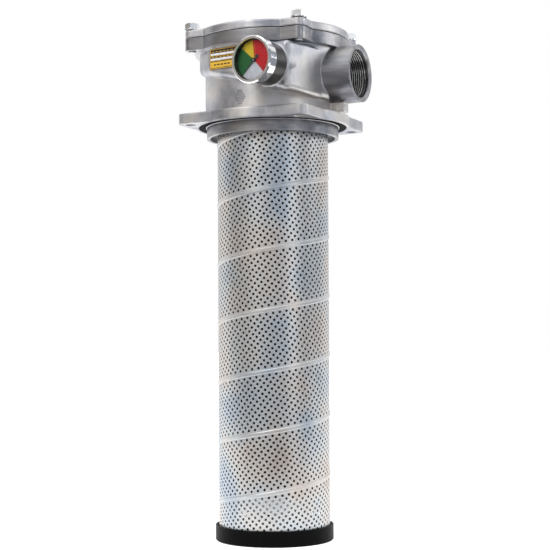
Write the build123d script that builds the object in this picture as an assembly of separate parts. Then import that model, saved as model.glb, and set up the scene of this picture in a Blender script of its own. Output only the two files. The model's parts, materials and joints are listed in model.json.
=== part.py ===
from build123d import *
import math
import os

# Tank-top return line filter, in millimetres, +Z up.
# Origin: centre of the mounting flange's underside, on the sleeve's axis. +X: inlet port.

# Perforated sleeve, its collar and its base cap
SLEEVE_R = 57.5
SLEEVE_WALL = 0.9
SLEEVE_END_Z = -424.0
SEAM_PITCH = 61.0
SEAM_AZIMUTH = -62.6
SEAM_Z = -66.7
SEAM_WIDTH = 6.0
SEAM_RISE = 0.8
HOLE_R = 1.4
HOLE_COLUMNS = 8
HOLE_ROWS = 10
HOLE_ROW_STEP = 36.0
COLLAR_WALL = 3.5
COLLAR_SHELF = 3.0
COLLAR_SEAT_Z = 4.0
COLLAR_FLANGE_T = 3.0
COLLAR_FIT = 0.2
CAP_GAP = 1.5
CAP_WALL = 2.0
CAP_H = 16.0
CAP_CHAMFER = 1.2

# Head body, built outward from the sleeve that hangs in it
BODY_BORE_R = SLEEVE_R + COLLAR_WALL + COLLAR_SHELF
BODY_WALL = 5.7
CHAMBER_DEPTH = 5.5
CHAMBER_WALL = 6.0
CHAMBER_BORE_R = BODY_BORE_R + CHAMBER_DEPTH
CHAMBER_R = CHAMBER_BORE_R + CHAMBER_WALL
BODY_R = BODY_BORE_R + BODY_WALL
SHOULDER_Z = 38.0
SHOULDER_FALL = 0.26
SHOULDER_FILLET = 7.0
RIM_LIP = 4.5
RIM_R = CHAMBER_R + RIM_LIP
RIM_Z = 88.0
RIM_T = 12.5
LUG_REACH = 6.0
LUG_BOLT_R = RIM_R + LUG_REACH
LUG_FLANK_R = 65.0
LUG_NOSE_R = 7.0
FIXINGS = 4
FIRST_FIXING_DEG = 45.0

# Mounting flange and spigot
SPIGOT_WALL = 4.5
SPIGOT_R = BODY_BORE_R + SPIGOT_WALL
SPIGOT_DEPTH = 11.5
SPIGOT_LIP = 3.5
SPIGOT_BORE_DEPTH = 6.5
GROOVE_LAND = 1.0
GROOVE_WIDTH = 7.5
GROOVE_DEPTH = 3.0
FLANGE_SHELF = 11.5
FLANGE_R = SPIGOT_R + FLANGE_SHELF
FLANGE_T = 10.5
EAR_REACH = 12.0
EAR_TIP_R = FLANGE_R + EAR_REACH
EAR_FLANK_R = FLANGE_R - 5.0
EAR_NOSE_R = 8.0
MOUNT_HOLE_IN = 4.5
MOUNT_HOLE_R = 5.5

# Inlet port
PORT_Z = 48.5
PORT_REACH = 20.0
PORT_FACE_X = RIM_R + PORT_REACH
PORT_BOSS_R = 29.0
PORT_BORE_R = 23.9
PORT_MOUTH_R = 25.3
FOOT_WIDTH = 11.0
FOOT_X = 84.0

# Cover and its fixings
SEAL_T = 0.8
SEAL_FIT = 0.2
COVER_T = 8.0
COVER_WALL = 6.0
COVER_FILLET = 1.6
CROWN_R = 45.0
CROWN_FOOT_R = 60.0
CROWN_RISE = 7.8
COVER_SPIGOT_DEPTH = 5.0
SCREW_R = 4.0
SCREW_HEAD_AF = 13.0
SCREW_HEAD_H = 5.6
SCREW_TIP_BELOW = 1.5
WASHER_R = 8.0
WASHER_T = 1.6
SCREW_FIT = 0.05
SPIGOT_FIT = 0.2

# Filter element
ELEMENT_BOTTOM_Z = -388.0
MEDIA_GAP = 2.8
MEDIA_R = SLEEVE_R - SLEEVE_WALL - MEDIA_GAP
MEDIA_T = 1.2
PLEATS = 48
CORE_R = 26.0
CORE_GAP = 1.0
MEDIA_INNER_R = CORE_R + CORE_GAP
CORE_WALL = 1.0
CORE_HOLE_R = 5.0
CORE_ROW_STEP = 60.0
END_CAP_T = 4.0
SKIRT_DEPTH = 10.0
SKIRT_T = 1.0
ELEMENT_FIT = 0.3
ELEMENT_SEAL_W = 2.6

# Bypass valve in the element's foot
SEAT_R = 13.0
POPPET_R = 16.0
POPPET_T = 2.2
POPPET_NOSE_R = 12.4
POPPET_NOSE_H = 3.0
POPPET_GAP = 0.1
STEM_R = 3.0
STEM_FIT = 0.05
CAGE_R = 20.5
CAGE_WALL = 1.2
CAGE_DEPTH = 24.0
CAGE_RIM_R = 25.0
CAGE_WINDOW_W = 16.0
CAGE_BAND = 4.0
BYPASS_WIRE_R = 0.8
BYPASS_COIL_R = 9.5
BYPASS_TURNS = 4.0
SPRING_SEAT_GAP = 0.1

# Hold-down spring and magnetic column
HOLD_WIRE_R = 1.7
HOLD_COIL_R = 33.0
HOLD_TURNS = 3.0
ROD_R = 5.0
ROD_SOCKET_R = 11.0
ROD_SOCKET_DEPTH = 10.0
ROD_GRIP = 14.0
ROD_SHOULDER_R = 9.0
ROD_SHOULDER_T = 4.0
ROD_SHOULDER_Z = 20.0
MAGNET_R = 13.0
MAGNET_H = 20.0
MAGNETS = 6
SPACER_R = 8.0
SPACER_H = 8.0
ROD_FIT = 0.05
NUT_AF = 17.0
NUT_H = 8.0

# Clogging gauge: its axis stands out of the head, square to the label
GAUGE_AZIMUTH = -97.0
GAUGE_SIDE = 46.0
GAUGE_Z = 50.0
GAUGE_BOSS_R = 22.5
FLAT_DEPTH = 2.5
GAUGE_BOSS_FACE = CHAMBER_R - FLAT_DEPTH
GAUGE_BOSS_FILLET = 3.0
CHEEK_STEP = 1.5
CHEEK_CORNER_R = 6.0
CHEEK_TOP_BELOW = 2.5
CHEEK_FILLET = 5.0
CASE_R = 21.0
CASE_WALL = 1.2
CASE_DEPTH = 22.0
BEZEL_R = 23.25
BEZEL_DEPTH = 10.5
GAUGE_LENGTH = 31.0
BEZEL_FACE = GAUGE_BOSS_FACE + GAUGE_LENGTH
BEZEL_LIP_R = 20.0
BEZEL_LIP_T = 1.6
BEZEL_CHAMFER = 1.2
GAUGE_FIT = 0.05
LENS_T = 1.5
DIAL_R = 19.5
DIAL_T = 0.6
DIAL_DEPTH = 6.0
DIAL_HOLE_R = 1.2
POINTER_LENGTH = 15.5
POINTER_TAIL = 6.5
POINTER_TIP_W = 0.7
POINTER_TAIL_W = 3.6
POINTER_T = 0.4
HUB_R = 2.0
HUB_H = 1.4
ZERO_DEG = 225.0

# Gauge works
SHANK_R = 5.0
SHANK_BORE_R = 1.2
SHANK_LENGTH = 17.0
BLOCK_W = 7.0
BLOCK_H = 8.0
BLOCK_FOOT = 22.0
TUBE_R = 15.0
TUBE_T = 1.2
TUBE_W = 4.0
TUBE_START_DEG = -100.0
TUBE_TIP_DEG = 15.0
TOOTH_MODULE = 0.25
PINION_TEETH = 10
GEAR_RATIO = 9
SECTOR_TEETH = 12
SECTOR_AT_DEG = -25.0
SECTOR_SWING_DEG = 30.0
SECTOR_T = 1.0
TAIL_LENGTH = 4.0
ARBOR_R = 0.6
ARBOR_FIT = 0.02
PLATE_T = 1.0
PLATE_GAP = 6.5
PLATE_W = 19.0
PLATE_H = 13.0
LINK_W = 1.6
LINK_T = 0.6
LINK_GAP = 0.3
LINK_PIN_R = 0.35
LINK_PIN_FIT = 0.03
TOOTH_HEIGHT = 0.2
TOOTH_ROOT_DEPTH = 0.3
PINION_WIDTH = 2.5
POINTER_GAP = 0.5
PILLAR_R = 1.0
PLATE_CENTRE = (3.5, -2.5)
PILLARS = ((-4.5, -7.5), (-4.5, 2.5), (11.5, 2.5))

# Nameplate and its pad
PAD_LEFT = -28.5
PAD_RIGHT = 28.0
PAD_BOTTOM_Z = 49.5
PAD_TOP_Z = 75.0
PAD_FILLET = 9.0
PLATE_LEFT = -26.0
PLATE_RIGHT = 21.0
LABEL_Z = 63.0
LABEL_H = 21.0
LABEL_T = 0.5

COVER_UNDER_Z = RIM_Z + SEAL_T
COVER_TOP_Z = COVER_UNDER_Z + COVER_T
CAP_FLOOR_Z = SLEEVE_END_Z
COLLAR_TOP_Z = COLLAR_SEAT_Z + COLLAR_FLANGE_T
GAUGE_DIR = Vector(math.cos(math.radians(GAUGE_AZIMUTH)), math.sin(math.radians(GAUGE_AZIMUTH)), 0)
GAUGE_RIGHT = Vector(-GAUGE_DIR.Y, GAUGE_DIR.X, 0)


def ring(outer_r, inner_r, bottom, top):
    """A plain ring about Z between two heights."""
    return Pos(0, 0, bottom) * extrude(Circle(outer_r) - Circle(inner_r), top - bottom)


def disc(radius, bottom, top):
    return Pos(0, 0, bottom) * extrude(Circle(radius), top - bottom)


def hexagon(across_flats, bottom, top):
    outline = RegularPolygon(across_flats / math.sqrt(3), 6)
    return Pos(0, 0, bottom) * extrude(outline, top - bottom)


def around(shape):
    """Copies of one shape at the fixing angles."""
    step = 360 / FIXINGS
    return [Rot(0, 0, FIRST_FIXING_DEG + step * k) * shape for k in range(FIXINGS)]


def facing(side, height):
    """The gauge's frame: Z outward along the gauge's axis, X to the right, Y up."""
    centre = GAUGE_RIGHT * side + Vector(0, 0, height)
    return Plane(origin=centre, x_dir=GAUGE_RIGHT, z_dir=GAUGE_DIR)


def in_gauge(shape):
    return facing(GAUGE_SIDE, GAUGE_Z).location * shape


def eared_outline(disc_r, flank_r, tip_r, nose_r):
    """A round plate with four ears, their flanks tangent to one inner circle."""
    swing = math.acos((flank_r - nose_r) / tip_r)
    across, along = math.sin(swing), math.cos(swing)
    root = (flank_r * along, flank_r * across)
    tip = (tip_r + nose_r * along, nose_r * across)
    flanks = Polygon((0, 0), (root[0], -root[1]), (tip[0], -tip[1]), tip, root, align=None)
    ear = flanks + Pos(tip_r, 0) * Circle(nose_r)
    return Circle(disc_r) + around(ear)


def over_shoulder(column, lift):
    """The part of a column above the floor that falls towards the inlet port."""
    floor = Plane(origin=(0, 0, SHOULDER_Z + lift), z_dir=Vector(SHOULDER_FALL, 0, 1))
    return split(column, bisect_by=floor, keep=Keep.TOP)


def inner_floor_lift():
    return CHAMBER_WALL * math.hypot(SHOULDER_FALL, 1)


def outer_chamber():
    chamber = over_shoulder(disc(CHAMBER_R, 0, RIM_Z - RIM_T), 0)
    shoulder = chamber.faces().filter_by(GeomType.PLANE).sort_by(Axis.Z)[0]
    return fillet(shoulder.edges(), SHOULDER_FILLET)


def cheek_outline():
    """The plan of the gallery's wall: behind the gauge boss, then back to the port."""
    out = GAUGE_DIR * (GAUGE_BOSS_FACE - CHEEK_STEP)
    near = out + GAUGE_RIGHT * (GAUGE_SIDE - GAUGE_BOSS_R)
    corner = out + GAUGE_RIGHT * (GAUGE_SIDE + GAUGE_BOSS_R - CHEEK_STEP)
    neck_x = math.sqrt(CHAMBER_R ** 2 - PORT_BOSS_R ** 2)
    corners = ((0, 0), (near.X, near.Y), (corner.X, corner.Y), (neck_x, -PORT_BOSS_R), (neck_x, 0))
    return fillet(Polygon(*corners, align=None).vertices(), CHEEK_CORNER_R)


def cheek():
    """The gallery's outer wall, rounded over at its top and where it meets the shoulder."""
    block = over_shoulder(extrude(cheek_outline(), cheek_top()), 0)
    block = fillet(block.faces().filter_by(Axis.Z).sort_by(Axis.Z)[-1].edges(), CHEEK_FILLET)
    shoulder = block.faces().filter_by(GeomType.PLANE).sort_by(Axis.Z)[0]
    return fillet(shoulder.edges(), CHEEK_FILLET)


def gallery():
    """The hollow behind the cheek, one wall in from its faces."""
    plan = offset(cheek_outline(), -CHAMBER_WALL)
    return over_shoulder(extrude(plan, cheek_top() - CHAMBER_WALL), inner_floor_lift())


def cheek_top():
    return RIM_Z - RIM_T - CHEEK_TOP_BELOW


def mounting_flange():
    plate = extrude(eared_outline(FLANGE_R, EAR_FLANK_R, EAR_TIP_R, EAR_NOSE_R), FLANGE_T)
    return plate + disc(SPIGOT_R, -SPIGOT_DEPTH, 0)


def rim():
    outline = eared_outline(RIM_R, LUG_FLANK_R, LUG_BOLT_R, LUG_NOSE_R)
    return Pos(0, 0, RIM_Z - RIM_T) * extrude(outline, RIM_T)


def along_port(radius, start, end):
    return Pos(start, 0, PORT_Z) * Rot(0, 90, 0) * extrude(Circle(radius), end - start)


def port_foot():
    """The cast block that stands on the flange under the port."""
    height = PORT_Z - FLANGE_T
    block = Box(FLANGE_R - FOOT_X / 2, FOOT_WIDTH, height, align=(Align.MAX, Align.CENTER, Align.MIN))
    return Pos(FOOT_X, 0, FLANGE_T) * block


def gauge_boss():
    boss = Pos(0, 0, GAUGE_SIDE / 2) * extrude(Circle(GAUGE_BOSS_R), GAUGE_BOSS_FACE - GAUGE_SIDE / 2)
    return in_gauge(fillet(boss.edges().sort_by(Axis.Z)[-1], GAUGE_BOSS_FILLET))


def label_pad(start, end):
    """The rounded pad's outline, drawn outward between two distances from the axis."""
    width = PAD_RIGHT - PAD_LEFT
    height = PAD_TOP_Z - PAD_BOTTOM_Z
    outline = RectangleRounded(width, height, PAD_FILLET)
    middle = facing((PAD_LEFT + PAD_RIGHT) / 2, (PAD_TOP_Z + PAD_BOTTOM_Z) / 2)
    return middle.location * (Pos(0, 0, start) * extrude(outline, end - start))


def head_bores():
    spigot = disc(SPIGOT_R - SPIGOT_LIP, -SPIGOT_DEPTH, SPIGOT_BORE_DEPTH - SPIGOT_DEPTH)
    collar = disc(collar_r() + COLLAR_FIT, -SPIGOT_DEPTH, COLLAR_SEAT_Z)
    body = disc(BODY_BORE_R, COLLAR_SEAT_Z, RIM_Z)
    chamber = over_shoulder(disc(CHAMBER_BORE_R, 0, RIM_Z), inner_floor_lift())
    return [spigot, collar, body, chamber]


def port_bore():
    chamfer_depth = PORT_MOUTH_R - PORT_BORE_R
    mouth = Plane(origin=(PORT_FACE_X, 0, PORT_Z), x_dir=(0, 1, 0), z_dir=(-1, 0, 0)).location
    cone = mouth * Pos(0, 0, chamfer_depth / 2) * Cone(PORT_MOUTH_R, PORT_BORE_R, chamfer_depth)
    return along_port(PORT_BORE_R, 0, PORT_FACE_X) + cone


def head_casting():
    body = mounting_flange() + disc(BODY_R, 0, RIM_Z) + outer_chamber() + rim()
    body = body + cheek() - gallery()
    boss = along_port(PORT_BOSS_R, 0, PORT_FACE_X)
    pad = label_pad(BODY_BORE_R, GAUGE_BOSS_FACE)
    body = body + boss + port_foot() + gauge_boss() + pad
    body = body - head_bores() - port_bore() - label_pad(GAUGE_BOSS_FACE, RIM_R)
    body -= ring(groove_outer_r(), SPIGOT_R + GROOVE_LAND, 0, GROOVE_DEPTH)
    body -= around(Pos(EAR_TIP_R - MOUNT_HOLE_IN, 0) * disc(MOUNT_HOLE_R, 0, FLANGE_T))
    body -= around(Pos(LUG_BOLT_R, 0) * disc(SCREW_R + SCREW_FIT, RIM_Z - RIM_T, RIM_Z))
    body -= in_gauge(disc(SHANK_R + GAUGE_FIT, 0, GAUGE_BOSS_FACE))
    return body


def groove_outer_r():
    return SPIGOT_R + GROOVE_LAND + GROOVE_WIDTH


def flange_seal():
    inner = SPIGOT_R + GROOVE_LAND + SEAL_FIT
    return ring(groove_outer_r() - SEAL_FIT, inner, 0, GROOVE_DEPTH)


def cover_seal():
    return ring(RIM_R - SEAL_FIT, CHAMBER_BORE_R + SEAL_FIT, RIM_Z, COVER_UNDER_Z)


def cover():
    outline = eared_outline(RIM_R, LUG_FLANK_R, LUG_BOLT_R, LUG_NOSE_R)
    plate = Pos(0, 0, COVER_UNDER_Z) * extrude(outline, COVER_T)
    plate = fillet(plate.edges().group_by(Axis.Z)[-1], COVER_FILLET)
    crown = Pos(0, 0, COVER_TOP_Z + CROWN_RISE / 2) * Cone(CROWN_FOOT_R, CROWN_R, CROWN_RISE)
    spigot_r = CHAMBER_BORE_R - SPIGOT_FIT
    spigot = ring(spigot_r, spigot_r - COVER_WALL, COVER_UNDER_Z - COVER_SPIGOT_DEPTH, COVER_UNDER_Z)
    socket = disc(ROD_SOCKET_R, COVER_UNDER_Z - ROD_SOCKET_DEPTH, COVER_UNDER_Z)
    body = plate + crown + spigot + socket
    body -= disc(ROD_R + ROD_FIT, COVER_UNDER_Z - ROD_SOCKET_DEPTH, rod_top())
    holes = Pos(LUG_BOLT_R, 0) * disc(SCREW_R + SCREW_FIT, COVER_UNDER_Z, COVER_TOP_Z)
    return body - around(holes)


def cover_washers():
    washer = ring(WASHER_R, SCREW_R + SCREW_FIT, COVER_TOP_Z, COVER_TOP_Z + WASHER_T)
    return Compound(around(Pos(LUG_BOLT_R, 0) * washer))


def cover_screws():
    seat = COVER_TOP_Z + WASHER_T
    head = hexagon(SCREW_HEAD_AF, seat, seat + SCREW_HEAD_H)
    crown_r = SCREW_HEAD_AF / 2
    crown = Pos(0, 0, seat + SCREW_HEAD_H / 2) * Cone(SCREW_HEAD_AF, crown_r, SCREW_HEAD_H)
    shank = disc(SCREW_R, RIM_Z - RIM_T - SCREW_TIP_BELOW, seat)
    return Compound(around(Pos(LUG_BOLT_R, 0) * ((head & crown) + shank)))


def nameplate():
    outline = Rectangle(PLATE_RIGHT - PLATE_LEFT, LABEL_H)
    middle = facing((PLATE_LEFT + PLATE_RIGHT) / 2, LABEL_Z)
    return middle.location * (Pos(0, 0, GAUGE_BOSS_FACE) * extrude(outline, LABEL_T))


def collar_r():
    return SLEEVE_R + COLLAR_WALL


def sleeve_collar():
    bottom = SPIGOT_BORE_DEPTH - SPIGOT_DEPTH
    band = ring(collar_r(), SLEEVE_R, bottom, COLLAR_TOP_Z)
    return band + ring(BODY_BORE_R - COLLAR_FIT, SLEEVE_R, COLLAR_SEAT_Z, COLLAR_TOP_Z)


def seam_ridge():
    """The raised lock seam, one long right-handed helix."""
    margin = SEAM_WIDTH
    top = -SPIGOT_DEPTH - margin
    bottom = SLEEVE_END_Z + CAP_H + margin
    path = Helix(SEAM_PITCH, top - bottom, SLEEVE_R)
    start_deg = SEAM_AZIMUTH + 360 * (bottom - SEAM_Z) / SEAM_PITCH
    path = Pos(0, 0, bottom) * Rot(0, 0, start_deg) * path
    lean = Plane(origin=path @ 0, x_dir=(path @ 0 - Vector(0, 0, bottom)), z_dir=path % 0)
    half = SEAM_WIDTH / 2
    top_half = half - SEAM_RISE
    sunk = -SLEEVE_WALL / 2
    corners = ((sunk, -half), (SEAM_RISE, -top_half), (SEAM_RISE, top_half), (sunk, half))
    profile = Polygon(*corners, align=None)
    return sweep(lean * profile, path, is_frenet=True)


def perforated_sleeve():
    tube = ring(SLEEVE_R, SLEEVE_R - SLEEVE_WALL, SLEEVE_END_Z, COLLAR_TOP_Z) + seam_ridge()
    return tube - sleeve_holes()


def sleeve_holes():
    """A sparse helical lattice of holes between the seam's turns."""
    drill = Pos(SLEEVE_R, 0) * Rot(0, 90, 0) * extrude(Circle(HOLE_R), 2 * SLEEVE_WALL, both=True)
    step = 360 / HOLE_COLUMNS
    holes = []
    for row in range(HOLE_ROWS):
        for column in range(HOLE_COLUMNS):
            turn = step * (column + row % 2 / 2)
            rise = SEAM_Z - SEAM_PITCH / 2 + SEAM_PITCH * ((turn - SEAM_AZIMUTH) % 360) / 360
            holes.append(Pos(0, 0, rise - HOLE_ROW_STEP * row) * Rot(0, 0, turn) * drill)
    return holes


def base_cap():
    bottom = CAP_FLOOR_Z - CAP_WALL
    inner_r = SLEEVE_R + CAP_GAP
    cup = disc(inner_r + CAP_WALL, bottom, bottom + CAP_H)
    cup = chamfer(cup.edges().sort_by(Axis.Z)[0], CAP_CHAMFER)
    return cup - disc(inner_r, CAP_FLOOR_Z, bottom + CAP_H)


def skirts(floor, rim_z):
    """The two upstanding walls of an end cap, around the media and around the core."""
    low, high = sorted((floor, rim_z))
    outer_r = MEDIA_R + ELEMENT_FIT
    inner_r = CORE_R - CORE_WALL - ELEMENT_FIT
    return ring(outer_r + SKIRT_T, outer_r, low, high) + ring(inner_r, inner_r - SKIRT_T, low, high)


def core_opening_r():
    return CORE_R - CORE_WALL - ELEMENT_FIT - SKIRT_T


def element_top_cap():
    top = COLLAR_TOP_Z + END_CAP_T + ELEMENT_SEAL_W
    plate = ring(BODY_BORE_R - ELEMENT_FIT, core_opening_r(), COLLAR_TOP_Z, top)
    seal_z = (COLLAR_TOP_Z + top) / 2
    half = ELEMENT_SEAL_W / 2
    groove = ring(BODY_BORE_R, groove_r(), seal_z - half, seal_z + half)
    return plate + skirts(COLLAR_TOP_Z, COLLAR_TOP_Z - SKIRT_DEPTH) - groove


def groove_r():
    return BODY_BORE_R - ELEMENT_SEAL_W


def element_seal():
    seal_z = COLLAR_TOP_Z + (END_CAP_T + ELEMENT_SEAL_W) / 2
    half = ELEMENT_SEAL_W / 2
    return ring(BODY_BORE_R, groove_r(), seal_z - half, seal_z + half)


def element_bottom_cap():
    plate = ring(MEDIA_R + ELEMENT_FIT + SKIRT_T, SEAT_R, ELEMENT_BOTTOM_Z - END_CAP_T, ELEMENT_BOTTOM_Z)
    return plate + skirts(ELEMENT_BOTTOM_Z, ELEMENT_BOTTOM_Z + SKIRT_DEPTH)


def element_media():
    """One pleated sheet, closed on itself."""
    half = MEDIA_T / 2
    step = 2 * math.pi / PLEATS
    outer, inner = [], []
    for k in range(PLEATS):
        crest, root = k * step, (k + 0.5) * step
        outer += [polar(MEDIA_R, crest), polar(MEDIA_INNER_R + 3 * half, root)]
        inner += [polar(MEDIA_R - 3 * half, crest), polar(MEDIA_INNER_R, root)]
    outline = Polygon(*outer, align=None) - Polygon(*inner, align=None)
    return Pos(0, 0, ELEMENT_BOTTOM_Z) * extrude(outline, COLLAR_TOP_Z - ELEMENT_BOTTOM_Z)


def polar(radius, angle):
    return radius * math.cos(angle), radius * math.sin(angle)


def element_core():
    tube = ring(CORE_R, CORE_R - CORE_WALL, ELEMENT_BOTTOM_Z, COLLAR_TOP_Z)
    drill = Rot(0, 90, 0) * extrude(Circle(CORE_HOLE_R), CORE_R + CORE_WALL, both=True)
    step = CORE_ROW_STEP
    rows = int((COLLAR_TOP_Z - ELEMENT_BOTTOM_Z - 2 * SKIRT_DEPTH) / step)
    first = ELEMENT_BOTTOM_Z + SKIRT_DEPTH + step / 2
    return tube - [Pos(0, 0, first + step * k) * Rot(0, 0, 90 * (k % 2)) * drill for k in range(rows)]


def cage_top():
    return ELEMENT_BOTTOM_Z - END_CAP_T


def poppet_top():
    return cage_top() - POPPET_GAP


def cage_floor():
    return cage_top() - CAGE_DEPTH


def bypass_cage():
    cup = ring(CAGE_R, CAGE_R - CAGE_WALL, cage_floor(), cage_top())
    cup += ring(CAGE_RIM_R, CAGE_R - CAGE_WALL, cage_top() - CAGE_WALL, cage_top())
    cup += ring(CAGE_R, STEM_R + STEM_FIT, cage_floor() - CAGE_WALL, cage_floor())
    height = CAGE_DEPTH - 2 * CAGE_BAND
    window = Box(2 * CAGE_RIM_R, CAGE_WINDOW_W, height)
    middle = cage_floor() + CAGE_DEPTH / 2
    return cup - [Pos(0, 0, middle) * Rot(0, 0, turn) * window for turn in (0, 90)]


def bypass_poppet():
    plate = disc(POPPET_R, poppet_top() - POPPET_T, poppet_top())
    nose = Pos(0, 0, poppet_top() + POPPET_NOSE_H / 2) * Cone(POPPET_NOSE_R, STEM_R, POPPET_NOSE_H)
    return plate + nose + disc(STEM_R, cage_floor() - CAGE_WALL, poppet_top())


def coil(coil_r, wire_r, bottom, top, turns):
    """An open spring whose wire stands clear of both seats."""
    height = top - bottom - 2 * (wire_r + SPRING_SEAT_GAP)
    path = Pos(0, 0, bottom + wire_r + SPRING_SEAT_GAP) * Helix(height / turns, height, coil_r)
    section = Plane(origin=path @ 0, z_dir=path % 0) * RegularPolygon(wire_r, 6)
    return sweep(section, path, is_frenet=True)


def bypass_spring():
    return coil(BYPASS_COIL_R, BYPASS_WIRE_R, cage_floor(), poppet_top() - POPPET_T, BYPASS_TURNS)


def hold_down_spring():
    bottom = COLLAR_TOP_Z + END_CAP_T + ELEMENT_SEAL_W
    return coil(HOLD_COIL_R, HOLD_WIRE_R, bottom, COVER_UNDER_Z, HOLD_TURNS)


def rod_top():
    return COVER_UNDER_Z - ROD_SOCKET_DEPTH + ROD_GRIP


def stack_bottom():
    return ROD_SHOULDER_Z - MAGNETS * (MAGNET_H + SPACER_H)


def magnet_rod():
    rod = disc(ROD_R, stack_bottom() - 1.5 * NUT_H, rod_top())
    return rod + disc(ROD_SHOULDER_R, ROD_SHOULDER_Z, ROD_SHOULDER_Z + ROD_SHOULDER_T)


def stacked(radius, height, offset):
    """One ring for each place in the magnetic column."""
    bore = ROD_R + ROD_FIT
    pitch = MAGNET_H + SPACER_H
    rings = []
    for k in range(MAGNETS):
        top = ROD_SHOULDER_Z - offset - pitch * k
        rings.append(ring(radius, bore, top - height, top))
    return Compound(rings)


def ring_magnets():
    return stacked(MAGNET_R, MAGNET_H, 0)


def magnet_spacers():
    return stacked(SPACER_R, SPACER_H, MAGNET_H)


def magnet_nut():
    foot = stack_bottom() - NUT_H
    return hexagon(NUT_AF, foot, stack_bottom()) - disc(ROD_R + ROD_FIT, foot, stack_bottom())


def case_floor():
    return GAUGE_BOSS_FACE + CASE_WALL


def dial_top():
    return BEZEL_FACE - DIAL_DEPTH


def lens_top():
    return BEZEL_FACE - BEZEL_LIP_T


def gauge_case():
    shell = disc(CASE_R, GAUGE_BOSS_FACE, dial_top() - DIAL_T)
    shell -= disc(CASE_R - CASE_WALL, case_floor(), dial_top() - DIAL_T)
    return shell - disc(SHANK_R + GAUGE_FIT, GAUGE_BOSS_FACE, case_floor())


def gauge_bezel():
    back = BEZEL_FACE - BEZEL_DEPTH
    body = disc(BEZEL_R, back, BEZEL_FACE)
    body = chamfer(body.edges().sort_by(Axis.Z)[-1], BEZEL_CHAMFER)
    body -= disc(CASE_R + GAUGE_FIT, back, lens_top())
    return body - disc(BEZEL_LIP_R, back, BEZEL_FACE)


def gauge_lens():
    return disc(CASE_R, lens_top() - LENS_T, lens_top())


def gauge_dial():
    rim = ring(CASE_R, DIAL_R, dial_top() - DIAL_T, lens_top() - LENS_T)
    return rim + ring(CASE_R, DIAL_HOLE_R, dial_top() - DIAL_T, dial_top())


def pinion_r():
    return TOOTH_MODULE * PINION_TEETH / 2


def sector_r():
    return pinion_r() * GEAR_RATIO


def sector_pivot():
    reach = pinion_r() + sector_r()
    return Vector(*polar(reach, math.radians(SECTOR_AT_DEG)), 0)


def tail_pin():
    along = Vector(*polar(TAIL_LENGTH, math.radians(SECTOR_AT_DEG)), 0)
    return sector_pivot() + along


def plate_z():
    return case_floor() + BLOCK_H


def sector_z():
    return plate_z() + PLATE_T + PLATE_GAP / 2


def gauge_socket():
    shank = disc(SHANK_R, GAUGE_BOSS_FACE - SHANK_LENGTH, case_floor())
    block = Box(BLOCK_W, BLOCK_FOOT, BLOCK_H, align=(Align.CENTER, Align.MAX, Align.MIN))
    body = shank + Pos(0, SHANK_R, case_floor()) * block
    body -= disc(SHANK_BORE_R, GAUGE_BOSS_FACE - SHANK_LENGTH, case_floor() + BLOCK_H / 2)
    return body - gauge_bourdon()


def bourdon_z():
    return case_floor() + BLOCK_H / 2


def link_z():
    return sector_z() - LINK_T - LINK_GAP / 2


def tube_tip():
    return Vector(*polar(TUBE_R, math.radians(TUBE_TIP_DEG)), 0)


def gauge_bourdon():
    """The bent pressure tube, with the tab on its free end that the link hangs on."""
    sweep_deg = TUBE_TIP_DEG - TUBE_START_DEG - 360
    path = CenterArc((0, 0), TUBE_R, TUBE_START_DEG, sweep_deg)
    band = trace(path, TUBE_T)
    tube = Pos(0, 0, bourdon_z() - TUBE_W / 2) * extrude(band, TUBE_W)
    tab_top = link_z() - LINK_GAP
    tab_h = tab_top - bourdon_z()
    tab = Box(TUBE_T, LINK_W, tab_h, align=(Align.CENTER, Align.CENTER, Align.MIN))
    place = Pos(tube_tip().X, tube_tip().Y, bourdon_z()) * Rot(0, 0, TUBE_TIP_DEG)
    return tube + place * tab


def gauge_movement():
    """Two plates on three pillars, bored for the arbors of sector and pinion."""
    outline = Rectangle(PLATE_W, PLATE_H)
    top_z = plate_z() + PLATE_T + PLATE_GAP
    x, y = PLATE_CENTRE
    lower = Pos(x, y, plate_z()) * extrude(outline, PLATE_T)
    upper = Pos(x, y, top_z) * extrude(outline, PLATE_T)
    frame = lower + upper + [Pos(x, y) * disc(PILLAR_R, plate_z(), top_z) for x, y in PILLARS]
    bore = disc(ARBOR_R + ARBOR_FIT, plate_z(), top_z + PLATE_T)
    pivot = sector_pivot()
    return frame - bore - Pos(pivot.X, pivot.Y) * bore


def toothed(radius, teeth, first_deg, pitch_deg, root_share, tip_share):
    """The corners of a run of teeth, their flanks straight."""
    corners = []
    for k in range(teeth):
        middle = math.radians(first_deg + pitch_deg * k)
        root = math.radians(pitch_deg * root_share)
        tip = math.radians(pitch_deg * tip_share)
        corners.append(polar(radius - TOOTH_ROOT_DEPTH, middle - root))
        corners.append(polar(radius + TOOTH_HEIGHT, middle - tip))
        corners.append(polar(radius + TOOTH_HEIGHT, middle + tip))
        corners.append(polar(radius - TOOTH_ROOT_DEPTH, middle + root))
    return corners


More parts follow.
